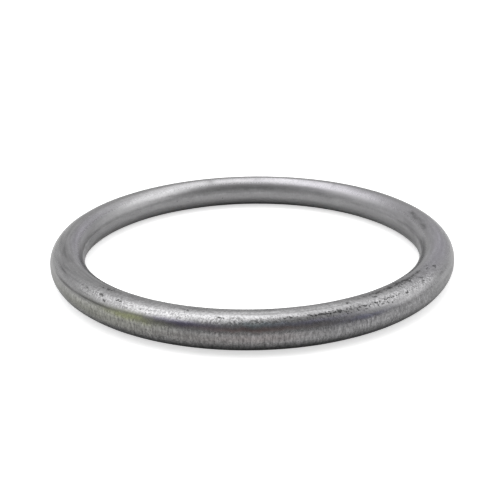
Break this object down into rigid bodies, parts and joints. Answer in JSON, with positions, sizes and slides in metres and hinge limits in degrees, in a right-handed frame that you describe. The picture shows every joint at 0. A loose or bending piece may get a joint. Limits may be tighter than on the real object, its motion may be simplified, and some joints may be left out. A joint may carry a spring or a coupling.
{
  "type": "exhaust gasket",
  "caption": "Round metal crush ring of nearly round section that seals an exhaust pipe flange to a cylinder head port.",
  "frame": {"origin": "centre of the ring, on the plane of its underside land", "axes": "+Z is the ring's axis and the way the gas passes; X and Y are free, because the ring is round"},
  "size_m": [0.048, 0.048, 0.004],
  "materials": {
    "plated_steel": "dull silvery zinc plating, finely mottled, with faint tints, fine cross wrinkles on the rim and dark handling marks"
  },
  "bodies": {
    "root": {"gasket_ring": "plated_steel"}
  },
  "joints": []
}
